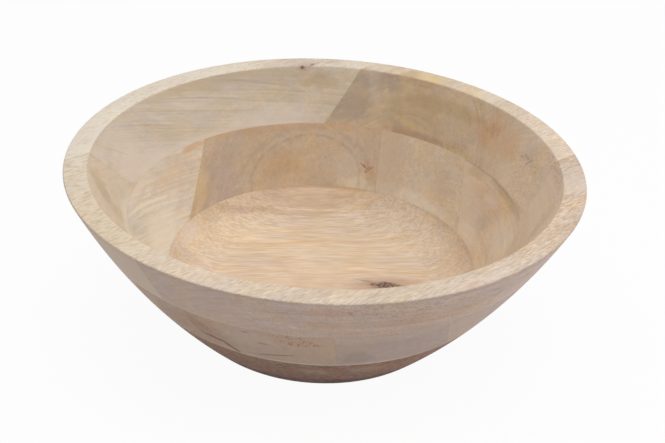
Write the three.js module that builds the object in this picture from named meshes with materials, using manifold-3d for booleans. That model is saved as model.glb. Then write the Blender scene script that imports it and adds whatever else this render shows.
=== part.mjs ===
// A wooden salad bowl turned from a glued block.
// The block is three layers of thick boards. In each layer the planks lie side by side,
// glued edge to edge, and each layer is turned on the one below so that the grain crosses.
// The block is then turned to a flaring bowl with a broad flat rim, a rounded floor and a flat foot.
// The hollow parts the middle planks of the two upper layers, which leaves two ends of each.
// Millimetres, +Z up, origin on the table at the middle of the foot.

import * as THREE from "three";
import { mergeVertices } from "three/addons/utils/BufferGeometryUtils.js";
import Module from "manifold-3d";

// Turned form
// The rim's radius and width are those of its sharp edges, before they are rounded.
// The floor wall is the wall's level thickness where it would meet the floor without the fillet.
const RIM_RADIUS = 150.5;
const RIM_WIDTH = 13.5;
const RIM_EDGE_ROUND = 0.8;
const FOOT_RADIUS = 77.4;
const FOOT_EDGE_ROUND = 1.5;
const WALL_BOW = 5.5;
const FLOOR_THICKNESS = 19;
const FLOOR_WALL = 15;
const FLOOR_FILLET = 38;

// Board thickness of each layer, and the glue between neighbours
const BASE_THICKNESS = 36;
const LOWER_THICKNESS = 34;
const UPPER_THICKNESS = 31.9;
const GLUE_LINE = 0.3;

// Direction of the planks in each layer, in degrees from +X
const BASE_GRAIN = 4.5;
const LOWER_GRAIN = 83.5;
const UPPER_GRAIN = 41.5;

// Edge joints: distance from the bowl's axis, across the planks
const BASE_BACK_JOINT = 80;
const BASE_MIDDLE_JOINT = 22;
const LOWER_LEFT_JOINT = 88;
const LOWER_MIDDLE_JOINT = -23.5;
const LOWER_RIGHT_JOINT = -80;
const UPPER_BACK_JOINT = 87.8;
const UPPER_MIDDLE_JOINT = -26;
const UPPER_FRONT_JOINT = -80.3;

// How far the planks stand past the finished bowl before it is turned
const BLANK_MARGIN = 10;

// Facets
const TURN_STEPS = 96;
const WALL_STEPS = 12;
const EDGE_STEPS = 2;
const FILLET_STEPS = 8;
const MERGE_DISTANCE = 1e-4;

const wasm = await Module();
wasm.setup();

const LOWER_BOTTOM = BASE_THICKNESS + GLUE_LINE;
const UPPER_BOTTOM = LOWER_BOTTOM + LOWER_THICKNESS + GLUE_LINE;
const BOWL_HEIGHT = UPPER_BOTTOM + UPPER_THICKNESS;
const BLANK_REACH = RIM_RADIUS + BLANK_MARGIN;

// The outer wall is one arc from the foot to the rim, bowed outwards from the straight line between them.
function outerWall() {
  const foot = new THREE.Vector2(FOOT_RADIUS, 0);
  const rim = new THREE.Vector2(RIM_RADIUS, BOWL_HEIGHT);
  const chord = rim.clone().sub(foot);
  const outwards = new THREE.Vector2(chord.y, -chord.x).normalize();
  const radius = (chord.lengthSq() / 4 + WALL_BOW ** 2) / (2 * WALL_BOW);
  const middle = foot.clone().lerp(rim, 0.5);
  const centre = middle.addScaledVector(outwards, WALL_BOW - radius);
  const radiusAt = (z) => centre.x + Math.sqrt(radius ** 2 - (z - centre.y) ** 2);
  return { foot, rim, radiusAt };
}

// An arc that rounds the corner between two straight stretches of the profile.
function roundedCorner(before, corner, after, radius, steps) {
  const back = before.clone().sub(corner).normalize();
  const on = after.clone().sub(corner).normalize();
  const halfAngle = Math.acos(THREE.MathUtils.clamp(back.dot(on), -1, 1)) / 2;
  const start = corner.clone().addScaledVector(back, radius / Math.tan(halfAngle));
  const toCentre = back.clone().add(on).normalize();
  const centre = corner.clone().addScaledVector(toCentre, radius / Math.sin(halfAngle));
  const spoke = start.clone().sub(centre);
  const turn = Math.sign(on.cross(back)) * (Math.PI - 2 * halfAngle);
  const points = [];
  for (let i = 0; i <= steps; i++) {
    points.push(spoke.clone().rotateAround(new THREE.Vector2(), (turn * i) / steps).add(centre));
  }
  return points;
}

// The half section of the bowl, from the middle of the foot round to the middle of the floor.
function bowlProfile() {
  const wall = outerWall();
  const rimInner = new THREE.Vector2(RIM_RADIUS - RIM_WIDTH, BOWL_HEIGHT);
  const floorCorner = new THREE.Vector2(wall.radiusAt(FLOOR_THICKNESS) - FLOOR_WALL, FLOOR_THICKNESS);
  const footCentre = new THREE.Vector2(0, 0);
  const floorCentre = new THREE.Vector2(0, FLOOR_THICKNESS);
  const wallPoints = [];
  for (let i = 1; i < WALL_STEPS; i++) {
    const z = (BOWL_HEIGHT * i) / WALL_STEPS;
    wallPoints.push(new THREE.Vector2(wall.radiusAt(z), z));
  }
  return [
    footCentre,
    ...roundedCorner(footCentre, wall.foot, wallPoints[0], FOOT_EDGE_ROUND, EDGE_STEPS),
    ...wallPoints,
    ...roundedCorner(wallPoints.at(-1), wall.rim, rimInner, RIM_EDGE_ROUND, EDGE_STEPS),
    ...roundedCorner(wall.rim, rimInner, floorCorner, RIM_EDGE_ROUND, EDGE_STEPS),
    ...roundedCorner(rimInner, floorCorner, floorCentre, FLOOR_FILLET, FILLET_STEPS),
    floorCentre,
  ];
}

// A closed mesh as a solid that can be cut.
function toSolid(geometry) {
  geometry.deleteAttribute("normal");
  geometry.deleteAttribute("uv");
  const merged = mergeVertices(geometry, MERGE_DISTANCE);
  const corners = merged.index.array;
  const triangles = [];
  for (let i = 0; i < corners.length; i += 3) {
    const [a, b, c] = corners.slice(i, i + 3);
    if (a !== b && b !== c && c !== a) {
      triangles.push(a, b, c);
    }
  }
  const mesh = new wasm.Mesh({
    numProp: 3,
    vertProperties: new Float32Array(merged.getAttribute("position").array),
    triVerts: new Uint32Array(triangles),
  });
  return new wasm.Manifold(mesh);
}

// A cut solid as a mesh again.
function toGeometry(solid) {
  const mesh = solid.getMesh();
  const geometry = new THREE.BufferGeometry();
  geometry.setAttribute("position", new THREE.BufferAttribute(mesh.vertProperties, 3));
  geometry.setIndex(new THREE.BufferAttribute(mesh.triVerts, 1));
  geometry.computeVertexNormals();
  return geometry;
}

// The whole bowl as if it were turned from one piece.
function turnedBowl() {
  const lathe = new THREE.LatheGeometry(bowlProfile(), TURN_STEPS);
  lathe.rotateX(Math.PI / 2);
  return toSolid(lathe);
}

// A sawn plank before turning, as a box in the bowl's frame.
// from and to are the edges across the grain, start and stop the ends along it.
function plankBlank(layer, { from, to, start, stop }) {
  const length = stop - start;
  const width = to - from;
  const height = layer.top - layer.bottom;
  const blank = new THREE.BoxGeometry(length, width, height);
  blank.translate((start + stop) / 2, (from + to) / 2, (layer.bottom + layer.top) / 2);
  blank.rotateZ(THREE.MathUtils.degToRad(layer.grain));
  return toSolid(blank);
}

function wood(colour, roughness) {
  return new THREE.MeshStandardMaterial({ color: colour, roughness, metalness: 0 });
}

// A plank between two joints, drawn back by half a glue line at each of them.
// A plank at the outside of its layer has only one joint, and runs on past the bowl.
function plank(lowJoint, highJoint, ends, board) {
  const from = lowJoint === null ? -BLANK_REACH : lowJoint + GLUE_LINE / 2;
  const to = highJoint === null ? BLANK_REACH : highJoint - GLUE_LINE / 2;
  return { from, to, ...ends, board };
}

const wholeLength = { start: -BLANK_REACH, stop: BLANK_REACH };
const nearEnd = { start: -BLANK_REACH, stop: 0 };
const farEnd = { start: 0, stop: BLANK_REACH };

// One colour for each board
const creamBoard = wood(0xcdbeaa, 0.62);
const oliveBoard = wood(0xbca58a, 0.66);
const speckledBoard = wood(0xc3ac93, 0.66);
const paleBoard = wood(0xcbb69f, 0.62);
const lightBoard = wood(0xd2bea5, 0.62);
const brownBoard = wood(0xb5997d, 0.66);
const greyBoard = wood(0xb8a088, 0.66);
const pinkBoard = wood(0xbea48a, 0.66);
const lensBoard = wood(0xc7a88c, 0.64);
const stripedBoard = wood(0xd6bb9f, 0.62);
const warmBoard = wood(0xd7b898, 0.62);

const baseLayer = {
  bottom: -BLANK_MARGIN,
  top: BASE_THICKNESS,
  grain: BASE_GRAIN,
  planks: {
    base_back_plank: plank(BASE_BACK_JOINT, null, wholeLength, lensBoard),
    base_middle_plank: plank(BASE_MIDDLE_JOINT, BASE_BACK_JOINT, wholeLength, stripedBoard),
    base_front_plank: plank(null, BASE_MIDDLE_JOINT, wholeLength, warmBoard),
  },
};

const lowerLayer = {
  bottom: LOWER_BOTTOM,
  top: LOWER_BOTTOM + LOWER_THICKNESS,
  grain: LOWER_GRAIN,
  planks: {
    lower_left_plank: plank(LOWER_LEFT_JOINT, null, wholeLength, lightBoard),
    lower_wide_plank_back: plank(LOWER_MIDDLE_JOINT, LOWER_LEFT_JOINT, farEnd, brownBoard),
    lower_wide_plank_front: plank(LOWER_MIDDLE_JOINT, LOWER_LEFT_JOINT, nearEnd, brownBoard),
    lower_narrow_plank_back: plank(LOWER_RIGHT_JOINT, LOWER_MIDDLE_JOINT, farEnd, greyBoard),
    lower_narrow_plank_front: plank(LOWER_RIGHT_JOINT, LOWER_MIDDLE_JOINT, nearEnd, greyBoard),
    lower_right_plank: plank(null, LOWER_RIGHT_JOINT, wholeLength, pinkBoard),
  },
};

const upperLayer = {
  bottom: UPPER_BOTTOM,
  top: BOWL_HEIGHT + BLANK_MARGIN,
  grain: UPPER_GRAIN,
  planks: {
    upper_back_plank: plank(UPPER_BACK_JOINT, null, wholeLength, creamBoard),
    upper_wide_plank_right: plank(UPPER_MIDDLE_JOINT, UPPER_BACK_JOINT, farEnd, oliveBoard),
    upper_wide_plank_left: plank(UPPER_MIDDLE_JOINT, UPPER_BACK_JOINT, nearEnd, oliveBoard),
    upper_narrow_plank_right: plank(UPPER_FRONT_JOINT, UPPER_MIDDLE_JOINT, farEnd, speckledBoard),
    upper_narrow_plank_left: plank(UPPER_FRONT_JOINT, UPPER_MIDDLE_JOINT, nearEnd, speckledBoard),
    upper_front_plank: plank(null, UPPER_FRONT_JOINT, wholeLength, paleBoard),
  },
};

const bowl = new THREE.Group();
bowl.name = "salad_bowl";
const turned = turnedBowl();

for (const layer of [baseLayer, lowerLayer, upperLayer]) {
  for (const [name, sawn] of Object.entries(layer.planks)) {
    const piece = turned.intersect(plankBlank(layer, sawn));
    const mesh = new THREE.Mesh(toGeometry(piece), sawn.board);
    mesh.name = name;
    bowl.add(mesh);
  }
}

export default bowl;
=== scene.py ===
"""A turned salad bowl of edge-glued planks, laid out as a Blender add-on and run as a script."""

import math
from collections import namedtuple
from functools import partial

import bpy
from bpy.props import FloatProperty, FloatVectorProperty, IntProperty, PointerProperty
from mathutils import Matrix, Vector


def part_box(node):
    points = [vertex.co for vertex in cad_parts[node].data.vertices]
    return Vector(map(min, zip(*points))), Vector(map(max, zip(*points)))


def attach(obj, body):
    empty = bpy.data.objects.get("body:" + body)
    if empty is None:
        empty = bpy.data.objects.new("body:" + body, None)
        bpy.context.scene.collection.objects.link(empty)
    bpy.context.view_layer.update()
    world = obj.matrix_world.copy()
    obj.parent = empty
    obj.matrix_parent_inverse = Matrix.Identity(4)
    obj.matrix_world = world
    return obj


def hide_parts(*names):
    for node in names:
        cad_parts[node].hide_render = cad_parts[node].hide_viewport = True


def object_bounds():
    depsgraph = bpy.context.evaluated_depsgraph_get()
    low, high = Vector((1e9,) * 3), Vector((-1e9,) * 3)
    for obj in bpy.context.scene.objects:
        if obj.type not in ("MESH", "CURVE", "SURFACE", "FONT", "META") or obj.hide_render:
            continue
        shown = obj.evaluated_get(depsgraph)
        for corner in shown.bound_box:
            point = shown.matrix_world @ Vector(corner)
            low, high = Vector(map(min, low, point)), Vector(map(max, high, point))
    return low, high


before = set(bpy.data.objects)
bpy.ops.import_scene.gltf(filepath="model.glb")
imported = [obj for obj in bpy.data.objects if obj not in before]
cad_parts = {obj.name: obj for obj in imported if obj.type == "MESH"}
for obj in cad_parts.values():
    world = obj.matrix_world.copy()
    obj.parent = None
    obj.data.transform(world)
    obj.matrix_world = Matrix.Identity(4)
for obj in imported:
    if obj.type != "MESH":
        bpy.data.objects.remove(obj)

bl_info = {
    "name": "Turned plank bowl",
    "version": (1, 0, 0),
    "blender": (4, 5, 0),
    "location": "View3D > Sidebar > Bowl",
    "description": "Builds a salad bowl turned from three crossed layers of edge-glued planks",
    "category": "Add Mesh",
}

CAD_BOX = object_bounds()
BODY = "root"

MM = 0.001
DEGREE = math.pi / 180

# Heights of the glue lines and of the rim, taken from the frame
BASE_GLUE = (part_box("base_front_plank")[1].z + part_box("lower_left_plank")[0].z) / 2
UPPER_GLUE = (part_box("lower_left_plank")[1].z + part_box("upper_back_plank")[0].z) / 2
BOWL_HEIGHT = CAD_BOX[1].z


def number(name, description, default, unit="NONE"):
    """A number property with its name, description and default."""
    return FloatProperty(name=name, description=description, default=default, unit=unit)


def length(name, description, millimetres):
    """A length property."""
    return number(name, description, millimetres * MM, "LENGTH")


def angle(name, description, degrees):
    """An angle property."""
    return FloatProperty(name=name, description=description, default=degrees * DEGREE, subtype="ANGLE")


def count(name, description, default, least):
    """A property for a number of facets."""
    return IntProperty(name=name, description=description, default=default, min=least)


class BowlSizes(bpy.types.PropertyGroup):
    """Sizes of the turned form, measured to its sharp edges."""

    rim_radius: length("Rim radius", "Radius of the rim's outer edge before it is rounded", 150.4)
    rim_width: length("Rim width", "Width of the flat rim before its edges are rounded", 13.5)
    rim_edge_round: length("Rim edge round", "Radius of the rim's two softened edges", 0.8)
    foot_radius: length("Foot radius", "Radius of the flat foot before its edge is rounded", 77.4)
    foot_edge_round: length("Foot edge round", "Radius of the foot's softened edge", 1.5)
    wall_bow: length("Wall bow", "How far the outer wall bows out from a straight cone", 5.5)
    floor_thickness: length("Floor thickness", "Thickness of the wood under the floor", 19)
    floor_wall: length("Wall at the floor", "Level thickness of the wall beside the floor", 15)
    floor_fillet: length("Floor fillet", "Radius of the round between the inside wall and the floor", 38)
    joint_gap: length("Joint gap", "Gap left between glued planks", 0.02)
    turn_steps: count("Turn steps", "Facets round the bowl", 360, 48)
    wall_steps: count("Wall steps", "Facets up the outer wall", 30, 6)
    fillet_steps: count("Fillet steps", "Facets round the floor fillet", 18, 4)
    edge_steps: count("Edge steps", "Facets round each softened edge", 5, 2)


def paint(code):
    """A colour written as six hexadecimal digits, in the linear values that shaders use."""
    parts = [int(code[i:i + 2], 16) / 255 for i in (0, 2, 4)]
    return tuple(p / 12.92 if p <= 0.04045 else ((p + 0.055) / 1.055) ** 2.4 for p in parts)


def colour(name, description, code):
    """A colour property."""
    return FloatVectorProperty(name=name, description=description, subtype="COLOR", size=3, min=0, max=1,
                               default=paint(code))


class BowlColours(bpy.types.PropertyGroup):
    """Tones of the boards, and of the marks that cross them."""

    upper_back: colour("Upper back", "Board along the back left of the rim", "CBBDAB")
    upper_wide: colour("Upper wide", "The wide board of the upper ring", "CBB498")
    upper_narrow: colour("Upper narrow", "The narrow board of the upper ring", "D9C3AB")
    upper_front: colour("Upper front", "Board along the front right of the rim", "D7C3AE")
    lower_left: colour("Lower left", "The left board of the lower ring", "DACCB9")
    lower_wide: colour("Lower wide", "The wide board of the lower ring", "C6AE93")
    lower_narrow: colour("Lower narrow", "The narrow board of the lower ring", "D4C0A8")
    lower_right: colour("Lower right", "The right board of the lower ring", "D9C2A9")
    base_back: colour("Base back", "The back board of the base", "DCC8B3")
    base_middle: colour("Base middle", "The middle board of the base", "DECEBC")
    base_front: colour("Base front", "The front board of the base", "E2D0BF")
    grey: colour("Grey stain", "Cool grey streaks in the heartwood", "9C8A77")
    slate: colour("Slate stain", "Bluish grey streaks in the heartwood", "8C8078")
    blush: colour("Blush stain", "Pinkish pale sapwood", "DDCDC0")
    mauve: colour("Mauve stain", "Purplish grey heartwood", "9A8686")
    olive: colour("Olive stain", "Greenish brown streaks in the heartwood", "A88C5F")
    yellow: colour("Yellow stain", "Yellow streaks", "E0C183")
    amber: colour("Amber stain", "Orange streaks, along the glue lines too", "C98F5A")
    rust: colour("Rust stain", "Reddish brown streaks and specks", "96684C")
    # Umber paints real reddish brown streaks, and also the painted shade that darkens the outside of the
    # base towards the table
    umber: colour("Umber stain", "Dark reddish brown towards the foot", "68301D")
    # Dark paints knots, bark lines and cracks, and also the painted contact shadow along the foot's edge
    dark: colour("Dark mark", "Knots, bark lines and cracks", "4A352B")
    # Pale paints sapwood lines, and also thin painted highlights along the outside edges at the glue
    # lines
    pale: colour("Pale mark", "Pale sapwood lines", "EADFCD")
    glue: colour("Glue line", "The thin line of glue at a joint", "8A7358")


class BowlStage(bpy.types.PropertyGroup):
    """The camera and the light."""

    elevation: angle("Camera elevation", "Height of the camera above the rim, as an angle", 27.388)
    distance: length("Camera distance", "Distance from the camera to the middle of the rim", 761.5)
    roll: angle("Camera roll", "Turn of the camera about its own line of sight", 2.661)
    focal_pixels: number("Focal length", "Focal length, in pixels of the picture", 1312.31)
    rim_pixel: FloatVectorProperty(
        name="Rim centre pixel", description="Where the middle of the rim falls in the picture",
        size=2, default=(326.156, 160.265))
    top_power: number("Top light", "Power of the broad light overhead", 14.2, "POWER")
    side_power: number("Side light", "Power of the soft light on the right", 6, "POWER")
    fill_strength: number("Fill light", "Strength of the even light from all round", 0.26)
    floor_tone: colour("Floor", "Colour of the pale floor", "E6E6E6")


# Width and height of the picture in pixels, and width of the camera's sensor in millimetres
PICTURE = (665, 443)
SENSOR_WIDTH = 36.0


class NodeSheet:
    """Adds nodes to one tree, with their settings and inputs in one call."""

    def __init__(self, tree):
        self.tree = tree

    def add(self, kind, inputs=None, **settings):
        node = self.tree.nodes.new(kind)
        for name, value in settings.items():
            setattr(node, name, value)
        for key, value in (inputs or {}).items():
            self.feed(node.inputs[key], value)
        return node

    def out(self, kind, inputs=None, **settings):
        return self.add(kind, inputs, **settings).outputs[0]

    def feed(self, socket, value):
        if isinstance(value, bpy.types.NodeSocket):
            self.tree.links.new(value, socket)
        else:
            socket.default_value = value

    def math(self, operation, *values):
        return self.out("ShaderNodeMath", dict(enumerate(values)), operation=operation)

    def product(self, *values):
        result = values[0]
        for value in values[1:]:
            result = self.math("MULTIPLY", result, value)
        return result

    def vector(self, operation, first, second=(0, 0, 0)):
        node = self.add("ShaderNodeVectorMath", {0: first, 1: second}, operation=operation)
        return node.outputs["Value" if operation == "LENGTH" else "Vector"]

    def scale(self, vector, factor):
        return self.out("ShaderNodeVectorMath", {0: vector, "Scale": factor}, operation="SCALE")

    def split(self, vector):
        return self.add("ShaderNodeSeparateXYZ", {0: vector}).outputs

    def join(self, *parts):
        return self.out("ShaderNodeCombineXYZ", dict(enumerate(parts)))

    def ramp(self, value, low, high, start=0.0, stop=1.0):
        """A smooth step from start to stop while the value goes from low to high."""
        inputs = {"Value": value, "From Min": low, "From Max": high, "To Min": start, "To Max": stop}
        return self.out("ShaderNodeMapRange", inputs, interpolation_type="SMOOTHSTEP", clamp=False)

    def noise(self, vector, detail=0.0):
        """Solid noise that varies over about one unit of the vector: its value and its colour."""
        return self.add("ShaderNodeTexNoise", {"Vector": vector, "Scale": 1.0, "Detail": detail}).outputs

    def flecks(self, vector, along, across, detail=0.0):
        """Solid noise in flecks of those sizes along the grain and across it."""
        return self.noise(self.vector("MULTIPLY", vector, (1 / along, 1 / across, 1 / across)), detail)

    def line_noise(self, value, detail=0.0):
        inputs = {"W": value, "Scale": 1.0, "Detail": detail}
        return self.out("ShaderNodeTexNoise", inputs, noise_dimensions="1D")

    def mix(self, factor, first, second):
        return self.add("ShaderNodeMix", {0: factor, 6: first, 7: second}, data_type="RGBA").outputs[2]

    def group(self, make, **inputs):
        """A node of the group that a function makes, built the first time: its outputs."""
        tree = bpy.data.node_groups.get(make.__name__) or new_group(make, inputs)
        return self.add("ShaderNodeGroup", inputs, node_tree=tree).outputs

    def give(self, results):
        """Gives the tree its outputs."""
        for name, value in results.items():
            self.tree.interface.new_socket(name, in_out="OUTPUT", socket_type=socket_type(value))
        self.add("NodeGroupOutput", results)


def new_object(name, data):
    """A new object of the scene with that data."""
    made = bpy.data.objects.new(name, data)
    bpy.context.scene.collection.objects.link(made)
    return made


SOCKET_TYPES = {"VALUE": "NodeSocketFloat", "VECTOR": "NodeSocketVector", "RGBA": "NodeSocketColor",
                "GEOMETRY": "NodeSocketGeometry"}


def socket_type(value):
    """The type of socket that takes a value, or what comes out of another socket."""
    if isinstance(value, bpy.types.NodeSocket):
        return SOCKET_TYPES[value.type]
    size = len(value) if isinstance(value, tuple) else 1
    return SOCKET_TYPES[{1: "VALUE", 3: "VECTOR", 4: "RGBA"}[size]]


def new_tree(name, kind, inputs):
    """A node tree with sockets of those types, its sheet and what comes in by them."""
    tree = bpy.data.node_groups.new(name, kind)
    for socket, sort in inputs.items():
        tree.interface.new_socket(socket, in_out="INPUT", socket_type=sort)
    sheet = NodeSheet(tree)
    return tree, sheet, sheet.add("NodeGroupInput").outputs


def new_group(make, inputs):
    """A shader group: the function takes its inputs by name, and returns its outputs."""
    types = {name: socket_type(value) for name, value in inputs.items()}
    tree, sheet, given = new_tree(make.__name__, "ShaderNodeTree", types)
    sheet.give(make(sheet, **{name: given[name] for name in inputs}))
    return tree


# The turned form

def rounded_corner(before, corner, after, radius, steps):
    """An arc that rounds the corner between two straight stretches of the section."""
    back = (before - corner).normalized()
    on = (after - corner).normalized()
    half_angle = back.angle(on) / 2
    start = corner + back * (radius / math.tan(half_angle))
    centre = corner + (back + on).normalized() * (radius / math.sin(half_angle))
    side = 1 if on.x * back.y - on.y * back.x > 0 else -1
    turn = side * (math.pi - 2 * half_angle)
    spoke = start - centre
    return [centre + Matrix.Rotation(turn * i / steps, 2) @ spoke for i in range(steps + 1)]


def bowl_section(sizes):
    """The half section from the middle of the foot to the middle of the floor, as radius and height."""
    foot = Vector((sizes.foot_radius, 0))
    rim = Vector((sizes.rim_radius, BOWL_HEIGHT))
    chord = rim - foot
    outwards = Vector((chord.y, -chord.x)).normalized()
    bow_radius = (chord.length_squared / 4 + sizes.wall_bow ** 2) / (2 * sizes.wall_bow)
    bow_centre = (foot + rim) / 2 + outwards * (sizes.wall_bow - bow_radius)

    def wall_point(z):
        return Vector((bow_centre.x + math.sqrt(bow_radius ** 2 - (z - bow_centre.y) ** 2), z))

    steps = sizes.wall_steps
    wall = [wall_point(BOWL_HEIGHT * i / steps) for i in range(1, steps)]
    rim_inner = Vector((sizes.rim_radius - sizes.rim_width, BOWL_HEIGHT))
    floor_corner = wall_point(sizes.floor_thickness) - Vector((sizes.floor_wall, 0))
    foot_centre = Vector((0, 0))
    floor_centre = Vector((0, sizes.floor_thickness))
    return [
        foot_centre,
        *rounded_corner(foot_centre, foot, wall[0], sizes.foot_edge_round, sizes.edge_steps),
        *wall,
        *rounded_corner(wall[-1], rim, rim_inner, sizes.rim_edge_round, sizes.edge_steps),
        *rounded_corner(rim, rim_inner, floor_corner, sizes.rim_edge_round, sizes.edge_steps),
        *rounded_corner(rim_inner, floor_corner, floor_centre, sizes.floor_fillet, sizes.fillet_steps),
        floor_centre,
    ]


SHARP_ANGLE = 32 * DEGREE
WELD = 0.002 * MM


def turned_plank_tree():
    """Sweeps the half section round the bowl's axis and keeps what lies inside one sawn plank."""
    tree, sheet, given = new_tree("turned_plank", "GeometryNodeTree", {
        "section": "NodeSocketGeometry", "turn_steps": "NodeSocketInt", "path_radius": "NodeSocketFloat",
        "plank_middle": "NodeSocketVector", "plank_size": "NodeSocketVector", "grain": "NodeSocketFloat",
        "material": "NodeSocketMaterial"})
    section = sheet.out("GeometryNodeMeshToCurve", {"Mesh": given["section"]})
    path = sheet.out("GeometryNodeCurvePrimitiveCircle",
                     {"Resolution": given["turn_steps"], "Radius": given["path_radius"]})
    swept = sheet.out("GeometryNodeCurveToMesh", {"Curve": path, "Profile Curve": section})
    turned = sheet.out("GeometryNodeMergeByDistance", {"Geometry": swept, "Distance": WELD})
    cube = sheet.out("GeometryNodeMeshCube", {"Size": given["plank_size"]})
    moved = sheet.out("GeometryNodeTransform", {"Geometry": cube, "Translation": given["plank_middle"]})
    turn = sheet.out("ShaderNodeCombineXYZ", {"Z": given["grain"]})
    laid = sheet.out("GeometryNodeTransform", {"Geometry": moved, "Rotation": turn})
    cut = sheet.add("GeometryNodeMeshBoolean", operation="INTERSECT", solver="MANIFOLD")
    tree.links.new(turned, cut.inputs["Mesh 2"])
    tree.links.new(laid, cut.inputs["Mesh 2"])
    bend = sheet.out("GeometryNodeInputMeshEdgeAngle")
    sharp = sheet.math("GREATER_THAN", bend, SHARP_ANGLE)
    smooth = sheet.out("GeometryNodeSetShadeSmooth",
                       {"Geometry": cut.outputs["Mesh"], "Shade Smooth": True}, domain="FACE")
    creased = sheet.out("GeometryNodeSetShadeSmooth",
                        {"Geometry": smooth, "Selection": sharp, "Shade Smooth": False}, domain="EDGE")
    real = sheet.out("GeometryNodeRealizeInstances", {"Geometry": creased})
    dressed = sheet.out("GeometryNodeSetMaterial", {"Geometry": real, "Material": given["material"]})
    sheet.give({"plank": dressed})
    return tree


def set_inputs(modifier, **values):
    """Sets the inputs of a Geometry Nodes modifier by their names."""
    sockets = {item.name: item.identifier for item in modifier.node_group.interface.items_tree
               if item.item_type == "SOCKET" and item.in_out == "INPUT"}
    for name, value in values.items():
        modifier[sockets[name]] = value


# Wood: the shader groups work in millimetres, along the grain, across it and up

# Turns angles round the pith into the units of a streak's size
PITH_ARC = 40.0

# Lightness of plain wood, and what its clouds, fibres and figure add to it
PLAIN_GAIN = 0.575
CLOUD_GAIN = 0.28
FIBRE_GAIN = 0.32
FIGURE_GAIN = 0.25

# Tints of the pores and strokes, of the flat rim, of warm patches and of the outside
PORE_TINT = 0.55
STROKE_TINT = (0.78, 0.70, 0.60)
RIM_TINT = (1.14, 1.17, 1.24)
WARM_TINT = (1.03, 0.98, 0.87)
OUTSIDE_TINT = (1.02, 0.99, 1.1)

# Depths below the flat of the rim between which its look fades out
RIM_FADE = (0.9, 0.3)

# Two cones inside the wood that part outside from inside: radius gained with height, and at the table
LOW_CONE = (0.86, 70.0)
HIGH_CONE = (0.642, 78.0)
CONE_BLEND = 1.5


def rim_mask(sheet, height):
    """One on the flat rim, and nought below its edges."""
    top = BOWL_HEIGHT / MM
    return sheet.ramp(height, top - RIM_FADE[0], top - RIM_FADE[1])


def board_wood(sheet, place, pith, ring_width, waver, rings, streaks, pores, rim, lean, streak_size, cool,
               tone, shade):
    """Plain wood of one board: growth layers round a pith that runs along the grain, fibres and pores."""
    along, _, height = sheet.split(place)
    level = sheet.vector("SUBTRACT", place, sheet.scale(lean, along))
    slow = sheet.flecks(level, 140, 42, 1)[1]
    drift = sheet.vector("MULTIPLY", sheet.vector("SUBTRACT", slow, (0.5, 0.5, 0.5)), (0, 2, 2))
    bent = sheet.vector("ADD", level, sheet.scale(drift, waver))
    spoke = sheet.vector("MULTIPLY", sheet.vector("SUBTRACT", bent, pith), (0, 1, 1))
    radius = sheet.vector("LENGTH", spoke)
    _, sideways, upwards = sheet.split(spoke)
    around = sheet.product(sheet.math("ARCTAN2", upwards, sideways), PITH_ARC)

    age = sheet.math("DIVIDE", radius, ring_width)
    broad = sheet.ramp(sheet.line_noise(age, 2), 0.3, 0.7, 0, 0.6)
    fine = sheet.ramp(sheet.line_noise(sheet.product(age, 3.3), 2), 0.5, 0.72, 0, 0.5)
    patch = sheet.ramp(sheet.flecks(level, 50, 18, 1)[0], 0.35, 0.6, 0.15, 1)
    layers = sheet.product(sheet.math("ADD", broad, fine), patch)
    grown = sheet.vector("DIVIDE", sheet.join(along, radius, around), streak_size)
    streak = sheet.noise(grown, 3)[0]
    lines = sheet.product(sheet.ramp(streak, 0.35, 0.68), streaks)
    depth = sheet.math("MULTIPLY_ADD", layers, rings, lines)
    figured = sheet.mix(depth, tone, shade)

    fibre = sheet.flecks(bent, 16, 0.55, 1)[0]
    figure = sheet.flecks(bent, 16, 3.2, 1)[0]
    pits = sheet.ramp(sheet.flecks(bent, 8, 0.55)[0], 0.6, 0.74)
    hatch = sheet.ramp(sheet.flecks(bent, 4, 0.44)[0], 0.4, 0.6)
    top = rim_mask(sheet, height)
    strokes = sheet.product(hatch, sheet.product(top, rim))
    cloud, tint = sheet.flecks(level, 70, 26, 2)
    small_tint = sheet.flecks(level, 24, 8, 1)[1]

    struck = sheet.mix(strokes, figured, sheet.vector("MULTIPLY", figured, STROKE_TINT))
    gain = sheet.math("MULTIPLY_ADD", fibre, FIBRE_GAIN, PLAIN_GAIN)
    gain = sheet.math("MULTIPLY_ADD", cloud, CLOUD_GAIN, gain)
    gain = sheet.math("MULTIPLY_ADD", figure, FIGURE_GAIN, gain)
    lit = sheet.scale(struck, gain)
    raised = sheet.mix(top, lit, sheet.vector("MULTIPLY", lit, RIM_TINT))
    cooled = sheet.vector("MULTIPLY", raised, cool)
    warmed = sheet.vector("MULTIPLY", raised, WARM_TINT)
    toned = sheet.mix(sheet.ramp(sheet.math("ADD", tint, small_tint), 0.76, 1.24), cooled, warmed)
    pitted = sheet.mix(sheet.product(pits, pores), toned, sheet.scale(shade, PORE_TINT))
    rough = sheet.math("MULTIPLY_ADD", pits, 0.14, sheet.ramp(fibre, 0.3, 0.7, 0.56, 0.68))
    ridge = sheet.math("MULTIPLY_ADD", streak, 0.4, sheet.product(fibre, 0.5))
    pitting = sheet.math("ADD", pits, sheet.product(strokes, 0.6))
    return {"colour": pitted, "roughness": rough, "height": sheet.math("SUBTRACT", ridge, pitting)}


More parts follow.
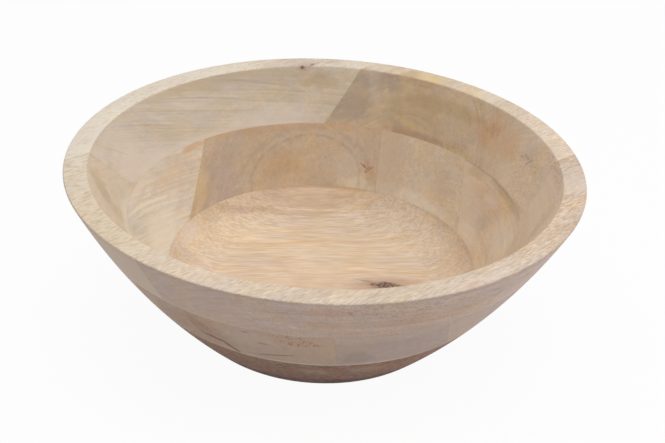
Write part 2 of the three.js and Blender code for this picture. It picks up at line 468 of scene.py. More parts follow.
def stain(sheet, place, centre, radii, slope):
    """A soft-edged mark: an ellipsoid that may lean, ragged along the grain."""
    away = sheet.vector("SUBTRACT", place, centre)
    along, across, up = sheet.split(away)
    slope = sheet.split(slope)
    across_lean = sheet.math("SUBTRACT", across, sheet.product(along, slope[0]))
    up_lean = sheet.math("SUBTRACT", up, sheet.product(along, slope[1]))
    up_lean = sheet.math("SUBTRACT", up_lean, sheet.product(across, slope[2]))
    leant = sheet.join(along, across_lean, up_lean)
    reach = sheet.vector("LENGTH", sheet.vector("DIVIDE", leant, radii))
    ragged = sheet.flecks(away, 30, 5, 2)[0]
    edge = sheet.math("MULTIPLY_ADD", sheet.math("SUBTRACT", ragged, 0.5), 0.9, reach)
    return {"mask": sheet.ramp(edge, 0.35, 1.05, 1, 0)}


def specks(sheet, place, centre, size, share):
    """Breaks a mark up into specks: a share of nought leaves it whole."""
    away = sheet.vector("SUBTRACT", place, centre)
    dots = sheet.noise(sheet.vector("DIVIDE", away, size), 1)[0]
    whole = sheet.math("SUBTRACT", 1, share)
    return {"mask": sheet.math("MULTIPLY_ADD", sheet.ramp(dots, 0.5, 0.66), share, whole)}


def growth_arc(sheet, place, centre, radii, width):
    """One faint growth layer: the outline of an ellipse round the pith, patchy along its run."""
    away = sheet.vector("SUBTRACT", place, centre)
    reach = sheet.vector("LENGTH", sheet.vector("DIVIDE", away, radii))
    off_edge = sheet.math("ABSOLUTE", sheet.math("SUBTRACT", reach, 1))
    line = sheet.ramp(off_edge, 0, width, 1, 0)
    patchy = sheet.ramp(sheet.flecks(away, 30, 5, 2)[0], 0.3, 0.6)
    return {"mask": sheet.product(line, patchy)}


def turned_faces(sheet, place, colour):
    """Tells the outside of the wall, its inside and the rim apart, and cools the outside."""
    place = sheet.scale(place, 1 / MM)
    radius = sheet.vector("LENGTH", sheet.vector("MULTIPLY", place, (1, 1, 0)))
    height = sheet.split(place)[2]
    low = sheet.math("MULTIPLY_ADD", height, *LOW_CONE)
    high = sheet.math("MULTIPLY_ADD", height, *HIGH_CONE)
    past = sheet.math("SUBTRACT", radius, sheet.math("MINIMUM", low, high))
    rim = rim_mask(sheet, height)
    below_rim = sheet.math("SUBTRACT", 1, rim)
    outer = sheet.product(sheet.ramp(past, -CONE_BLEND, CONE_BLEND), below_rim)
    inner = sheet.math("SUBTRACT", below_rim, outer)
    cooled = sheet.mix(outer, colour, sheet.vector("MULTIPLY", colour, OUTSIDE_TINT))
    return {"colour": cooled, "outer": outer, "inner": inner, "rim": rim}


def knot_wood(sheet, place, centre, radii, parting):
    """A knot: a cracked dark core in a stained halo, with the grain parted round it."""
    away = sheet.vector("SUBTRACT", place, centre)
    wobble = sheet.flecks(place, 6, 3, 2)[0]
    reach = sheet.vector("LENGTH", sheet.vector("DIVIDE", away, radii))
    edge = sheet.math("MULTIPLY_ADD", sheet.math("SUBTRACT", wobble, 0.5), 1.1, reach)
    body = sheet.ramp(edge, 0.55, 1.1, 1, 0)
    cells = {"Vector": sheet.vector("MULTIPLY", place, (1 / 3, 1 / 2, 1 / 2)), "Scale": 1}
    net = sheet.add("ShaderNodeTexVoronoi", cells, feature="DISTANCE_TO_EDGE").outputs["Distance"]
    cracked = sheet.product(body, sheet.ramp(net, 0.03, 0.22, 1, 0.5))
    halo = sheet.ramp(edge, 0.7, 3, 1, 0)
    side = sheet.vector("NORMALIZE", sheet.vector("MULTIPLY", away, (0, 1, 1)))
    fade = sheet.math("EXPONENT", sheet.product(reach, reach, -0.2))
    push = sheet.scale(side, sheet.product(fade, parting))
    return {"bent": sheet.vector("SUBTRACT", place, push), "core": cracked, "halo": halo}


def glue_seam(sheet, place, low_edge, high_edge, bottom, top):
    """The hair lines of glue at a board's two edges and at its top and bottom."""
    _, across, up = sheet.split(place)
    gaps = [sheet.math("ABSOLUTE", sheet.math("SUBTRACT", value, edge))
            for value, edge in ((across, low_edge), (across, high_edge), (up, bottom), (up, top))]
    nearest = sheet.math("MINIMUM", sheet.math("MINIMUM", *gaps[:2]), sheet.math("MINIMUM", *gaps[2:]))
    line = sheet.ramp(nearest, 0.08, 0.4, 1, 0)
    patchy = sheet.ramp(sheet.flecks(place, 9, 9, 2)[0], 0.3, 0.65, 0.25, 1)
    return {"line": sheet.product(line, patchy)}


# Boards: heights and distances in millimetres, along the grain, across it and up from the table

# What darkens a board's tone in its growth layers, and what tints its cooler patches
COOL_SHADE = (0.76, 0.70, 0.62)
WARM_SHADE = (0.84, 0.72, 0.57)
GREY_TINT = (0.985, 1.0, 1.05)
PINK_TINT = (1.0, 0.985, 0.99)

# Size of the streaks along the grain, outwards from the pith and round it
LONG_STREAKS = (70, 1.5, 12)
SHORT_STREAKS = (16, 1.6, 0.09)

LEVEL = (0, 0, 0)
Layer = namedtuple("Layer", "bottom top grain gloss streak_size shade cool",
                   defaults=(0.5, LONG_STREAKS, COOL_SHADE, GREY_TINT))
Figure = namedtuple("Figure", "pith ring_width waver rings streaks pores rim lean", defaults=(0, LEVEL))
Knot = namedtuple("Knot", "centre radii parting halo")
Mark = namedtuple("Mark", "colour strength centre radii slope specks face arc",
                  defaults=(LEVEL, 0.0, "all", 0.0))
Board = namedtuple("Board", "tone layer edges figure knots marks")

BLANK_MARGIN = 10 * MM
BASE_LAYER = Layer(-BLANK_MARGIN, BASE_GLUE, 4.5 * DEGREE, 0.12, SHORT_STREAKS, WARM_SHADE, PINK_TINT)
LOWER_LAYER = Layer(BASE_GLUE, UPPER_GLUE, 83.5 * DEGREE)
UPPER_LAYER = Layer(UPPER_GLUE, BOWL_HEIGHT + BLANK_MARGIN, 41.5 * DEGREE)

REACH = 165
BASE_BACK_JOINT = 80
BASE_MIDDLE_JOINT = 22
LOWER_LEFT_JOINT = 88
LOWER_MIDDLE_JOINT = -23.5
LOWER_RIGHT_JOINT = -80
UPPER_BACK_JOINT = 87.8
UPPER_MIDDLE_JOINT = -26
UPPER_FRONT_JOINT = -80.3

# Radii of a mark that has no end in any direction
WIDE = 999
ALL = (WIDE, WIDE, WIDE)

# Marks that show only on the inside of the bowl, on the outside of its wall or on the flat rim
inside = partial(Mark, face="inner")
outside = partial(Mark, face="outer")
on_rim = partial(Mark, face="rim")


def new_board(tone, layer, edges, figure, *details):
    """A board with its knots and marks, which come in one list."""
    knots = [each for each in details if isinstance(each, Knot)]
    marks = [each for each in details if isinstance(each, Mark)]
    return Board(tone, layer, edges, figure, knots, marks)


def stained_and_shaded_foot(across, *between):
    """The stained outside of the base, with painted shade that darkens it towards the table and a painted
    contact shadow along the foot's edge, with one board's own marks between.
    """
    return (
        outside("rust", 0.71, (0, across, 18), ALL),
        outside("rust", 0.3, (11, across, 22), ALL),
        *between,
        # Painted shade: the base darkens towards the table, and a dark painted contact shadow runs along
        # the foot's edge
        outside("umber", 0.12, (0, across, 0), (WIDE, WIDE, 36)),
        outside("umber", 0.9, (0, across, 0), (WIDE, WIDE, 14)),
        outside("dark", 0.85, (0, across, 0), (WIDE, WIDE, 7)),
        outside("blush", 0.27, (7, across, 14), ALL, specks=1),
        outside("dark", 0.32, (0, across, 22), ALL, specks=1),
    )


UPPER_BACK = new_board(
    "upper_back", UPPER_LAYER, (UPPER_BACK_JOINT, REACH),
    Figure((0, 10, -191), 5, 2.5, 0.4, 0.2, 0.08, 1.3, (0, 0, -0.27)),
    Knot((75, 113, 101.8), (2.4, 1.4, 1.2), 3, 0.35),
    Knot((82, 112, 102.3), (3, 1, 0.8), 2, 0.25),
    inside("olive", 0.3, (30, 126, 101), (80, 24, 11)),
    inside("rust", 0.15, (76, 110, 96), (26, 14, 9)),
    inside("olive", 0.42, (84, 103, 94), (17, 14, 7)),
    inside("blush", 0.55, (-100, 92, 96), (16, 14, 8)),
    inside("blush", 0.6, (-62, 101, 76), (50, 26, 14), (0, -0.27, 0)),
    inside("blush", 0.35, (-80, 110, 92), (44, 26, 14)),
    inside("rust", 0.18, (-40, 119, 88.5), (44, 20, 0.6), (0, -0.33, 0)),
    inside("rust", 0.3, (10, 128, 91), (36, 20, 0.6), (0, -0.2, 0)),
    inside("grey", 0.3, (40, 122, 96), (60, 20, 1.2), (0, -0.2, 0)),
    inside("blush", 0.5, (50, 108, 74), (50, 30, 10)),
    inside("lower_left", 0.5, (-30, 108, 71), (60, 40, 5)),
    Mark("rust", 0.15, (-78, 101, 89.5), (17, 9, 0.8), (0, -0.65, 0)),
    on_rim("pale", 0.82, (-50, 120, 103), (200, 400, 40)),
    on_rim("rust", 0.22, (-60, 120, 103), ALL, specks=1),
    on_rim("pale", 0.5, (111, 95, 103), (16, 20, 5)),
    on_rim("rust", 0.18, (70, 120, 102.5), (24, 20, 5)),
    on_rim("blush", 0.4, (-98, 110, 102.5), (16, 16, 5)),
    on_rim("rust", 0.07, (-20, 140, 102.5), (36, 14, 4)),
)
UPPER_WIDE = new_board(
    "upper_wide", UPPER_LAYER, (UPPER_MIDDLE_JOINT, UPPER_BACK_JOINT),
    Figure((0, 45, 45), 5, 4, 0.45, 0.25, 0.16, 1.3),
    inside("grey", 0.45, (95, 82, 88), (60, 20, 22)),
    inside("slate", 0.26, (96, 80, 79), (60, 16, 12)),
    inside("slate", 0.32, (109, 74, 97), (24, 20, 7)),
    inside("pale", 0.1, (104, 71, 86), (60, 10, 40), (1.67, 0, 0)),
    inside("slate", 0.22, (104, 61, 78), (20, 8, 6)),
    inside("slate", 0.26, (112, 61, 88), (60, 11, 40), (1.67, 0, 0)),
    inside("olive", 0.35, (112, 46, 84), (60, 34, 22)),
    inside("olive", 0.4, (126, 26, 91.5), (40, 40, 6)),
    inside("yellow", 0.2, (110, 44, 77), (60, 18, 2.6), (0, 0, 0.2)),
    Mark("olive", 0.2, (115, 14, 72), (30, 20, 4)),
    Mark("rust", 0.25, (117, 4, 75), (30, 9, 3), specks=0.8),
    inside("rust", 0.35, (110, 36, 72), (60, 30, 3)),
    inside("rust", 0.25, (122, 58, 101), (40, 28, 3.5)),
    inside("amber", 0.14, (131, -16, 96), (40, 14, 9)),
    inside("rust", 0.45, (128, -14, 91), (40, 9, 5), specks=0.7),
    inside("blush", 0.2, (120, -9, 77), (40, 10, 6)),
    inside("rust", 0.09, (122, -5, 84), (60, 40, 26), specks=1),
    inside("amber", 0.3, (126, -16, 88), (40, 22, 11)),
    inside("lower_left", 0.6, (-104, 50, 71), (60, 50, 6)),
    inside("upper_narrow", 0.3, (118, -30, 82), (60, 18, 30)),
    inside("pale", 0.34, (-104, 65, 84), (60, 60, 60)),
    inside("olive", 0.4, (-111, 67, 91), (60, 16, 8), (0, 0, 0.57)),
    inside("olive", 0.22, (-108, 54, 79), (60, 11, 8)),
    outside("blush", 0.9, (-143, -5, 88), (40, 60, 60)),
    outside("pale", 0.45, (-143, -5, 88), (40, 60, 60)),
    outside("amber", 0.24, (-143, -5, 88), (40, 60, 60)),
    on_rim("pale", 0.35, (130, 20, 103), (60, 90, 20)),
    on_rim("yellow", 0.55, (128, 48, 102.5), (16, 16, 5)),
    on_rim("yellow", 0.3, (138, 18, 102.5), (16, 10, 5)),
    on_rim("olive", 0.45, (126, 61, 102.5), (9, 7, 5)),
    on_rim("pale", 0.35, (119, 83, 103), (14, 9, 5)),
    on_rim("pale", 0.35, (146, 8, 103), (12, 12, 5)),
    on_rim("pale", 0.4, (-111, 86, 103), (12, 12, 5)),
    on_rim("pale", 0.6, (-140, 30, 103), (60, 200, 20)),
    on_rim("olive", 0.44, (-130, 30, 103), (60, 200, 20), specks=1),
    on_rim("yellow", 0.12, (-138, 10, 102.5), (30, 50, 4)),
)
UPPER_NARROW = new_board(
    "upper_narrow", UPPER_LAYER, (UPPER_FRONT_JOINT, UPPER_MIDDLE_JOINT),
    Figure((0, -95, 10), 8, 6, 0.35, 0.25, 0.18, 1),
    inside("upper_wide", 0.6, (118, -26, 84), (60, 20, 60)),
    inside("amber", 0.3, (123, -30, 88), (40, 16, 10)),
    inside("rust", 0.1, (112, -50, 84), (60, 50, 26), specks=1),
    inside("rust", 0.7, (115, -55, 89.6), (40, 20, 3.2), specks=1),
    inside("rust", 0.5, (107, -78, 100), (40, 14, 4), specks=1),
    inside("dark", 0.2, (95, -55, 70.6), (60, 40, 1)),
    inside("olive", 0.18, (117, -55, 93), (40, 14, 7)),
    inside("blush", 0.22, (113, -39, 77), (40, 9, 6)),
    outside("mauve", 0.13, (-130, -50, 85), ALL),
    outside("blush", 0.08, (-130, -50, 85), ALL),
    inside("blush", 0.22, (107, -46, 72.5), (40, 12, 4)),
    inside("olive", 0.2, (92, -68, 71.5), (14, 20, 2)),
    # Painted highlight: a thin pale line along the outside edge at the glue line under this board
    outside("pale", 0.12, (-140, -50, 71.3), (60, 40, 1)),
    on_rim("pale", 0.37, (0, -50, 103), ALL),
    on_rim("rust", 0.2, (-130, -50, 103), ALL, specks=1),
)
UPPER_FRONT = new_board(
    "upper_front", UPPER_LAYER, (-REACH, UPPER_FRONT_JOINT),
    Figure((0, -118, -60), 6, 3, 0.4, 0.35, 0.4, 0.9),
    inside("upper_narrow", 0.6, (85, -85, 84), (60, 24, 60)),
    inside("rust", 0.35, (102, -88, 99), (20, 16, 4), specks=0.8),
    inside("slate", 0.2, (60, -110, 84), (16, 10, 5), (0, 0.5, 0)),
    inside("amber", 0.15, (85, -95, 74), (40, 20, 5)),
    outside("amber", 0.28, (-94, -112, 95), (50, 13, 5)),
    outside("amber", 0.24, (-92, -106, 83), (50, 12, 5)),
    outside("amber", 0.22, (-50, -132, 84), (60, 30, 6)),
    outside("amber", 0.2, (-60, -118, 73), (60, 60, 6)),
    outside("rust", 0.32, (-60, -128, 95), (60, 30, 9), specks=0.9),
    on_rim("dark", 0.4, (116, -91, 102.5), (4, 1, 2)),
    Mark("amber", 0.5, (-28, -144.5, 102), (9, 1.6, 2)),
    on_rim("pale", 0.34, (-90, -120, 103), (130, 400, 40)),
    on_rim("rust", 0.22, (-60, -110, 103), ALL, specks=1),
    on_rim("blush", 0.5, (97, -104, 103), (22, 16, 5)),
)
LOWER_LEFT = new_board(
    "lower_left", LOWER_LAYER, (LOWER_LEFT_JOINT, REACH),
    Figure((0, -45, -205), 6, 2, 0.35, 0.35, 0.08, lean=(0, 0, -0.43)),
    inside("amber", 0.16, (40, 98, 61), (40, 20, 12)),
    Mark("amber", 0.5, (66, 92, 69), (18, 12, 3)),
    inside("pale", 0.6, (2, 107, 60), (44, 20, 1.3), (0, -0.28, 0)),
    inside("pale", 0.4, (8, 105, 55), (44, 20, 0.9), (0, -0.28, 0)),
    inside("blush", 0.4, (-5, 108, 69), (40, 30, 4)),
    inside("pale", 0.45, (-10, 98, 44), (50, 20, 14)),
)
LOWER_WIDE = new_board(
    "lower_wide", LOWER_LAYER, (LOWER_MIDDLE_JOINT, LOWER_LEFT_JOINT),
    Figure((0, 23, 34), 5, 4, 0.18, 0.12, 0.16),
    inside("mauve", 0.35, (66, 76, 48), (40, 18, 26)),
    inside("olive", 0.25, (88, 44, 48), (60, 22, 13)),
    inside("grey", 0.25, (99, 55, 68.5), (40, 26, 4.5)),
    inside("grey", 0.25, (64, 82, 54), (14, 6, 8)),
    inside("pale", 0.4, (92, -11, 38.5), (20, 15, 5)),
    inside("yellow", 0.2, (92, -10, 39), (20, 16, 6)),
    inside("yellow", 0.3, (50, 85, 46), (16, 5, 16)),
    inside("olive", 0.2, (46, 84, 41), (24, 9, 9)),
    inside("slate", 0.34, (95, 23, 42), (200, 35, 22), arc=0.07),
    inside("slate", 0.26, (95, 23, 42), (200, 42, 26), arc=0.1),
    inside("amber", 0.16, (93, 41, 48), (40, 20, 12)),
    inside("grey", 0.3, (88, 65, 62), (40, 24, 14)),
    inside("pale", 0.18, (99, -4, 46), (40, 18, 13)),
    inside("rust", 0.07, (95, 30, 52), ALL, specks=1),
    inside("amber", 0.22, (103, 35, 69.5), (60, 80, 3.4)),
    inside("amber", 0.14, (98, -16, 48), (20, 8, 6)),
    inside("rust", 0.6, (98, -16, 48), (20, 6, 4.5), specks=1),
    inside("rust", 0.6, (98, -14, 49), (20, 4, 1), (0, 0, 0.55)),
    inside("rust", 0.5, (99, -18, 47.6), (20, 3.5, 0.9), (0, 0, -0.7)),
    outside("rust", 0.3, (-108, 55, 55), (40, 34, 20)),
    outside("rust", 0.3, (-114, 50, 60), (60, 9, 7), (0, 0, 0.9)),
    outside("blush", 0.22, (-122, 22, 60), (40, 22, 12)),
    outside("rust", 0.95, (-110, 44, 48.7), (60, 9, 2.2), (0, 0, 0.3)),
    outside("rust", 0.95, (-109, 34, 43), (60, 7, 2.6), (0, 0, 1)),
    outside("umber", 0.7, (-110, 41, 48), (60, 7, 1.3), (0, 0, 0.36)),
    outside("umber", 0.6, (-109, 34, 42.8), (60, 5, 1.6), (0, 0, 1)),
    outside("rust", 0.6, (-110, 52, 55.5), (60, 5, 2.2), (0, 0, 1.6)),
    outside("rust", 0.5, (-116, 43, 57), (60, 11, 6), (0, 0, 0.6), 1),
    outside("amber", 0.36, (-129, -6, 64), (40, 17, 5), specks=0.6),
    outside("rust", 0.6, (-129, 23, 67), (40, 3, 1.2)),
    outside("rust", 0.95, (-132, -1, 68), (40, 13, 2.4), specks=1),
    outside("rust", 0.8, (-126, -5, 62.5), (40, 14, 4.5), specks=1),
    outside("rust", 0.7, (-124, 14, 57), (40, 5, 1.8), specks=0.4),
    outside("dark", 0.7, (-115, 10, 44.5), (40, 16, 1.3), (0, 0, -0.26), 0.3),
    # Painted highlight: a thin pale line along the outside edge above the base's glue line
    outside("pale", 0.5, (-110, 0, 37.2), (60, 45, 1.1)),
)
LOWER_NARROW = new_board(
    "lower_narrow", LOWER_LAYER, (LOWER_RIGHT_JOINT, LOWER_MIDDLE_JOINT),
    Figure((0, -120, -40), 6, 5, 0.14, 0.14, 0.18),
    inside("amber", 0.2, (108, -28, 69), (30, 14, 2.6)),
    inside("slate", 0.15, (98, -36, 60), (40, 16, 12)),
    inside("grey", 0.13, (94, -56, 62), (20, 13, 9)),
    inside("pale", 0.42, (82, -44, 38.5), (60, 44, 6)),
    inside("rust", 0.16, (72, -66, 52), (40, 10, 14)),
    inside("lower_wide", 0.6, (98, -24, 52), (40, 26, 60)),
    inside("rust", 0.07, (98, -50, 52), ALL, specks=1),
    outside("slate", 0.35, (-118, -34, 46), (60, 12, 10)),
    outside("mauve", 0.36, (-118, -50, 56), ALL),
    outside("pale", 0.15, (-125, -50, 69), (60, 60, 7)),
    # Painted highlight: a thin pale line along the outside edge above the base's glue line
    outside("pale", 0.55, (-110, -50, 37.2), (60, 40, 1.2)),
)
LOWER_RIGHT = new_board(
    "lower_right", LOWER_LAYER, (-REACH, LOWER_RIGHT_JOINT),
    Figure((0, -100, -250), 6, 4, 0.25, 0.2, 0.14),
    inside("lower_narrow", 0.6, (68, -80, 55), (40, 16, 60)),
    inside("olive", 0.35, (36, -106, 69), (40, 16, 2.2)),
    inside("olive", 0.3, (72, -88, 67), (14, 8, 4)),
    inside("dark", 0.25, (60, -96, 70.2), (60, 40, 1)),
    inside("amber", 0.15, (36, -100, 61), (50, 30, 9)),
    inside("rust", 0.06, (60, -95, 55), ALL, specks=1),
    inside("yellow", 0.3, (22, -105, 64), (22, 6, 6), (0, 0.2, 0)),
    inside("slate", 0.22, (37, -96, 51), (14, 8, 7)),
    inside("blush", 0.3, (46, -98, 61), (12, 10, 4)),
    inside("pale", 0.3, (8, -107, 58), (26, 20, 18)),
    inside("pale", 0.25, (44, -84, 40), (34, 16, 5)),
    outside("mauve", 0.2, (-40, -118, 56), ALL),
    outside("blush", 0.12, (-40, -118, 56), ALL),
)
BASE_BACK = new_board(
    "base_back", BASE_LAYER, (BASE_BACK_JOINT, REACH),
    Figure((0, -70, -330), 1.6, 1.5, 0.25, 0.45, 0.12),
    Mark("rust", 0.35, (0, 90, 36), (60, 12, 2)),
    inside("rust", 0.15, (0, 84, 30), (50, 8, 10)),
    *stained_and_shaded_foot(90),
)
BASE_MIDDLE = new_board(
    "base_middle", BASE_LAYER, (BASE_MIDDLE_JOINT, BASE_BACK_JOINT),
    Figure((0, -110, -350), 1, 0.8, 0.18, 0.68, 0.12),
    inside("rust", 0.3, (-52, 69.5, 28), (32, 4, 14), (0.38, 0, 0)),
    inside("rust", 0.22, (-12, 76, 23), (44, 2.4, 14), (0.03, 0, 0)),
    Mark("amber", 0.2, (-5, 46, 19), (90, 3, 20), (0.06, 0, 0)),
    Mark("rust", 0.07, (84, 36, 34), (14, 24, 8)),
    Mark("grey", 0.2, (-69, 58, 33), (10, 10, 8)),
    Mark("blush", 0.5, (-81, 38, 33), (10, 13, 8)),
    inside("yellow", 0.35, (26, 78.8, 28), (36, 1.4, 14)),
    inside("rust", 0.14, (38, 80, 31), (14, 6, 10)),
    inside("amber", 0.14, (-46, 77, 33), (14, 4, 7), (0.35, 0, 0)),
    inside("rust", 0.14, (84, 36, 36), (40, 60, 2.4)),
    *stained_and_shaded_foot(50),
)
BASE_FRONT = new_board(
    "base_front", BASE_LAYER, (-REACH, BASE_MIDDLE_JOINT),
    Figure((0, -170, -350), 1, 0.8, 0.18, 0.68, 0.12),
    Knot((40, -4.5, 19), (11, 4.4, 14), 5, 0.4),
    Mark("amber", 0.06, (0, -8, 19), (110, 16, 20)),
    inside("blush", 0.5, (26, 0, 19), (12, 6, 12)),
    inside("rust", 0.3, (27, 1, 19), (9, 1, 12), (-0.35, 0, 0)),
    inside("rust", 0.24, (29, -3, 19), (8, 1, 12), (-0.12, 0, 0)),
    inside("rust", 0.3, (32, -1, 19), (8, 3.2, 12), (-0.3, 0, 0)),
    inside("dark", 0.35, (50, -5, 19), (7, 0.8, 12)),
    inside("yellow", 0.3, (64, 9, 21), (17, 3.4, 12)),
    Mark("rust", 0.08, (90, 8, 33), (14, 24, 8)),
    inside("rust", 0.14, (91, 2, 36), (40, 50, 2.6)),
    Mark("grey", 0.15, (-84, 14, 30), (18, 20, 12)),
    *stained_and_shaded_foot(
        -90,
        outside("blush", 0.3, (-8, -100, 25), (12, 14, 6)),
        outside("blush", 0.25, (20, -102, 27), (16, 14, 5)),
        outside("rust", 0.5, (34, -98, 33), (16, 14, 4)),
        outside("amber", 0.35, (28, -97, 25), (12, 14, 7)),
        outside("dark", 0.5, (-6, -106, 33.5), (9, 6, 2)),
        outside("dark", 0.4, (-24, -103, 31), (8, 6, 2.4)),
    ),
)

ROUGH_BUMP = 0.12 * MM
BUMP_STRENGTH = 0.5
SEAM_STRENGTH = 0.12
KNOT_STRENGTH = 0.85

# Sizes of specks, along the grain, across it and up
SPECK = (3, 1.4, 1.4)
RIM_STROKE = (5, 0.8, 0.8)


def mark_mask(sheet, mark, plank, faces):
    """How strongly a mark shows at each place."""
    where = {"place": plank, "centre": mark.centre}
    if mark.arc:
        mask = sheet.group(growth_arc, **where, radii=mark.radii, width=mark.arc)["mask"]
    else:
        mask = sheet.group(stain, **where, radii=mark.radii, slope=mark.slope)["mask"]
    if mark.specks:
        size = RIM_STROKE if mark.face == "rim" else SPECK
        mask = sheet.product(mask, sheet.group(specks, **where, size=size, share=mark.specks)["mask"])
    if mark.face != "all":
        mask = sheet.product(mask, faces[mark.face])
    return sheet.product(mask, mark.strength)


def board_material(board):
    """The wood of one board, made the first time that it is asked for."""
    name = board.tone + "_figured_wood"
    material = bpy.data.materials.get(name)
    if material:
        return material
    colours = bpy.context.scene.bowl_colours
    material = bpy.data.materials.new(name)
    material.use_nodes = True
    sheet = NodeSheet(material.node_tree)
    shader = material.node_tree.nodes["Principled BSDF"].inputs

    def tone(of):
        return (*getattr(colours, of), 1)

    base = tone(board.tone)
    layer = board.layer
    shade = tuple(part * dim for part, dim in zip(base, layer.shade)) + (1,)
    place = sheet.add("ShaderNodeTexCoord").outputs["Object"]
    plank = sheet.out("ShaderNodeMapping", {"Vector": place, "Rotation": (0, 0, -layer.grain),
                                            "Scale": (1 / MM, 1 / MM, 1 / MM)})
    bent = plank
    knots = []
    for knot in board.knots:
        made = sheet.group(knot_wood, place=bent, centre=knot.centre, radii=knot.radii,
                           parting=knot.parting)
        bent = made["bent"]
        knots.append((knot, made))
    wood = sheet.group(board_wood, place=bent, **board.figure._asdict(), streak_size=layer.streak_size,
                       cool=(*layer.cool, 1), tone=base, shade=shade)
    faces = sheet.group(turned_faces, place=place, colour=wood["colour"])
    look = faces["colour"]
    for mark in board.marks:
        look = sheet.mix(mark_mask(sheet, mark, plank, faces), look, tone(mark.colour))
    for knot, made in knots:
        look = sheet.mix(sheet.product(made["halo"], knot.halo), look, tone("rust"))
        look = sheet.mix(sheet.product(made["core"], KNOT_STRENGTH), look, tone("dark"))
    seam = sheet.group(glue_seam, place=plank, low_edge=board.edges[0], high_edge=board.edges[1],
                       bottom=layer.bottom / MM, top=layer.top / MM)["line"]
    look = sheet.mix(sheet.product(seam, SEAM_STRENGTH), look, tone("glue"))
    bump = sheet.out("ShaderNodeBump", {"Height": wood["height"], "Distance": ROUGH_BUMP,
                                        "Strength": BUMP_STRENGTH})
    sheet.feed(shader["Specular IOR Level"], layer.gloss)
    sheet.feed(shader["Base Color"], look)
    sheet.feed(shader["Roughness"], wood["roughness"])
    sheet.feed(shader["Normal"], bump)
    return material


WHOLE = (-REACH, REACH)
NEAR_END = (-REACH, 0)
FAR_END = (0, REACH)
PATH_RADIUS = 100 * MM


def make_plank(name, board, ends):
    """Builds one plank of the turned bowl as a plain mesh, and says what it stands for."""
    sizes = bpy.context.scene.bowl_sizes
    points = [(p.x - PATH_RADIUS, -p.y, 0) for p in reversed(bowl_section(sizes))]
    outline = bpy.data.meshes.new(name + "_section")
    outline.from_pydata(points, [(i, i + 1) for i in range(len(points) - 1)], [])
    source = new_object(name + "_source", outline)
    gap = sizes.joint_gap / 2
    low = Vector((ends[0] * MM, board.edges[0] * MM + gap, board.layer.bottom + gap))
    high = Vector((ends[1] * MM, board.edges[1] * MM - gap, board.layer.top - gap))
    modifier = source.modifiers.new("Turned plank", "NODES")
    modifier.node_group = bpy.data.node_groups.get("turned_plank") or turned_plank_tree()
    set_inputs(modifier, turn_steps=sizes.turn_steps, path_radius=PATH_RADIUS, grain=board.layer.grain,
               plank_middle=(low + high) / 2, plank_size=high - low, material=board_material(board))
    graph = bpy.context.evaluated_depsgraph_get()
    mesh = bpy.data.meshes.new_from_object(source.evaluated_get(graph), depsgraph=graph)
    bpy.data.objects.remove(source)
    bpy.data.meshes.remove(outline)
    if len(mesh.polygons) == 0:
        raise RuntimeError(name + " came out empty")
    mesh.name = "turned_" + name
    piece = new_object("turned_" + name, mesh)
    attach(piece, BODY)
    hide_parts(name)


class BOWL_OT_base_planks(bpy.types.Operator):
    """Builds the planks of the base: the floor, its rounded corner and the foot"""

    bl_idname = "bowl.base_planks"
    bl_label = "Base planks"

    def execute(self, context):
        make_plank("base_back_plank", BASE_BACK, WHOLE)
        make_plank("base_middle_plank", BASE_MIDDLE, WHOLE)
        make_plank("base_front_plank", BASE_FRONT, WHOLE)
        return {"FINISHED"}


class BOWL_OT_lower_planks(bpy.types.Operator):
    """Builds the planks of the lower ring"""

    bl_idname = "bowl.lower_planks"
    bl_label = "Lower planks"

    def execute(self, context):
        make_plank("lower_left_plank", LOWER_LEFT, WHOLE)
        make_plank("lower_wide_plank_back", LOWER_WIDE, FAR_END)
        make_plank("lower_wide_plank_front", LOWER_WIDE, NEAR_END)
        make_plank("lower_narrow_plank_back", LOWER_NARROW, FAR_END)
        make_plank("lower_narrow_plank_front", LOWER_NARROW, NEAR_END)
        make_plank("lower_right_plank", LOWER_RIGHT, WHOLE)
        return {"FINISHED"}


class BOWL_OT_upper_planks(bpy.types.Operator):
    """Builds the planks of the upper ring and its flat rim"""

    bl_idname = "bowl.upper_planks"
    bl_label = "Upper planks"

    def execute(self, context):
        make_plank("upper_back_plank", UPPER_BACK, WHOLE)
        make_plank("upper_wide_plank_right", UPPER_WIDE, FAR_END)
        make_plank("upper_wide_plank_left", UPPER_WIDE, NEAR_END)
        make_plank("upper_narrow_plank_right", UPPER_NARROW, FAR_END)
        make_plank("upper_narrow_plank_left", UPPER_NARROW, NEAR_END)
        make_plank("upper_front_plank", UPPER_FRONT, WHOLE)
        return {"FINISHED"}


# Stage

WHITE = (1, 1, 1, 1)
FLOOR_SIZE = 6.0
FLOOR_GLOW = 0.95
TOP_PLACE = (0, 0, 1.4)
TOP_SIZE = 1.4
SIDE_PLACE = (1.3, -0.2, 0.9)
SIDE_SIZE = 0.9
LIGHT_TARGET = Vector((0, 0, 0.06))


def seen_directly(sheet):
    """One where a surface is seen by the camera or in a reflection, and nought for the light it sheds."""
    path = sheet.add("ShaderNodeLightPath").outputs
    mirrored = sheet.math("MAXIMUM", path["Is Glossy Ray"], path["Is Transmission Ray"])
    return sheet.math("MAXIMUM", path["Is Camera Ray"], mirrored)


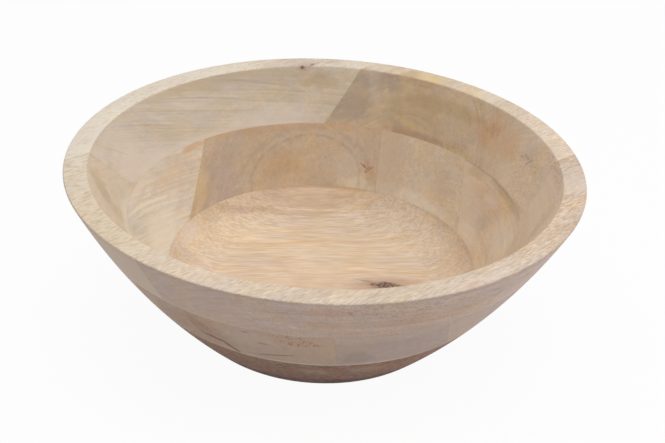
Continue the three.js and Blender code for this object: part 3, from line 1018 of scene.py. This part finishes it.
def make_floor(stage):
    """A pale floor that looks nearly white and still takes the bowl's shadow."""
    half = FLOOR_SIZE / 2
    mesh = bpy.data.meshes.new("floor")
    corners = [(-half, -half, 0), (half, -half, 0), (half, half, 0), (-half, half, 0)]
    mesh.from_pydata(corners, [], [(0, 1, 2, 3)])
    floor = new_object("floor", mesh)
    material = bpy.data.materials.new("pale_floor")
    material.use_nodes = True
    material.node_tree.nodes.clear()
    sheet = NodeSheet(material.node_tree)
    matte = sheet.out("ShaderNodeBsdfDiffuse", {"Color": (*stage.floor_tone, 1)})
    glow = sheet.out("ShaderNodeEmission", {"Color": WHITE, "Strength": 1.0})
    share = sheet.product(seen_directly(sheet), FLOOR_GLOW)
    blend = sheet.out("ShaderNodeMixShader", {0: share, 1: matte, 2: glow})
    sheet.add("ShaderNodeOutputMaterial", {"Surface": blend})
    mesh.materials.append(material)


def make_world(stage):
    """Even light from all round, behind a white background."""
    world = bpy.data.worlds.new("even_light")
    world.use_nodes = True
    world.node_tree.nodes.clear()
    sheet = NodeSheet(world.node_tree)
    fill = sheet.out("ShaderNodeBackground", {"Color": WHITE, "Strength": stage.fill_strength})
    white = sheet.out("ShaderNodeBackground", {"Color": WHITE, "Strength": 1.0})
    blend = sheet.out("ShaderNodeMixShader", {0: seen_directly(sheet), 1: fill, 2: white})
    sheet.add("ShaderNodeOutputWorld", {"Surface": blend})
    bpy.context.scene.world = world


def make_light(name, place, size, power):
    """A square soft light that faces the bowl."""
    light = bpy.data.lights.new(name, "AREA")
    light.shape = "SQUARE"
    light.size = size
    light.energy = power
    lamp = new_object(name, light)
    lamp.location = place
    lamp.rotation_euler = (LIGHT_TARGET - Vector(place)).to_track_quat("-Z", "Y").to_euler()


def make_camera(stage):
    """Aims at the middle of the rim, rolls, and turns so that it falls on its pixel."""
    back = Vector((0, -math.cos(stage.elevation), math.sin(stage.elevation)))
    right = Vector((1, 0, 0))
    aimed = Matrix((right, back.cross(right), back)).transposed()
    rolled = aimed @ Matrix.Rotation(stage.roll, 3, "Z")
    across = (stage.rim_pixel[0] - PICTURE[0] / 2) / stage.focal_pixels
    up = (PICTURE[1] / 2 - stage.rim_pixel[1]) / stage.focal_pixels
    off_axis = Vector((0, 0, -1)).rotation_difference(Vector((across, up, -1))).to_matrix()
    place = Vector((0, 0, BOWL_HEIGHT)) + back * stage.distance
    data = bpy.data.cameras.new("camera")
    data.sensor_width = SENSOR_WIDTH
    data.sensor_fit = "HORIZONTAL"
    data.lens = stage.focal_pixels * SENSOR_WIDTH / PICTURE[0]
    camera = new_object("camera", data)
    camera.matrix_world = Matrix.Translation(place) @ (rolled @ off_axis.transposed()).to_4x4()
    bpy.context.scene.camera = camera


class BOWL_OT_stage(bpy.types.Operator):
    """Sets the floor, the light and the camera"""

    bl_idname = "bowl.stage"
    bl_label = "Stage"

    def execute(self, context):
        stage = context.scene.bowl_stage
        context.scene.view_settings.view_transform = "Standard"
        make_floor(stage)
        make_world(stage)
        make_light("top_light", TOP_PLACE, TOP_SIZE, stage.top_power)
        make_light("side_light", SIDE_PLACE, SIDE_SIZE, stage.side_power)
        make_camera(stage)
        return {"FINISHED"}


class BOWL_PT_panel(bpy.types.Panel):
    """Lists the steps that build the bowl, with its sizes, colours and stage"""

    bl_idname = "BOWL_PT_panel"
    bl_label = "Turned plank bowl"
    bl_space_type = "VIEW_3D"
    bl_region_type = "UI"
    bl_category = "Bowl"

    def draw(self, context):
        scene = context.scene
        for operator in OPERATORS:
            self.layout.operator(operator.bl_idname)
        groups = {"Sizes": scene.bowl_sizes, "Colours": scene.bowl_colours, "Stage": scene.bowl_stage}
        for title, group in groups.items():
            column = self.layout.column()
            column.label(text=title)
            for name in type(group).__annotations__:
                column.prop(group, name)


OPERATORS = (BOWL_OT_stage, BOWL_OT_base_planks, BOWL_OT_lower_planks, BOWL_OT_upper_planks)
CLASSES = (BowlSizes, BowlColours, BowlStage, *OPERATORS, BOWL_PT_panel)


def register():
    for each in CLASSES:
        bpy.utils.register_class(each)
    bpy.types.Scene.bowl_sizes = PointerProperty(type=BowlSizes)
    bpy.types.Scene.bowl_colours = PointerProperty(type=BowlColours)
    bpy.types.Scene.bowl_stage = PointerProperty(type=BowlStage)


def unregister():
    del bpy.types.Scene.bowl_stage
    del bpy.types.Scene.bowl_colours
    del bpy.types.Scene.bowl_sizes
    for each in reversed(CLASSES):
        bpy.utils.unregister_class(each)


def main():
    register()
    bpy.ops.bowl.stage()
    bpy.ops.bowl.base_planks()
    bpy.ops.bowl.lower_planks()
    bpy.ops.bowl.upper_planks()


if __name__ == "__main__":
    main()
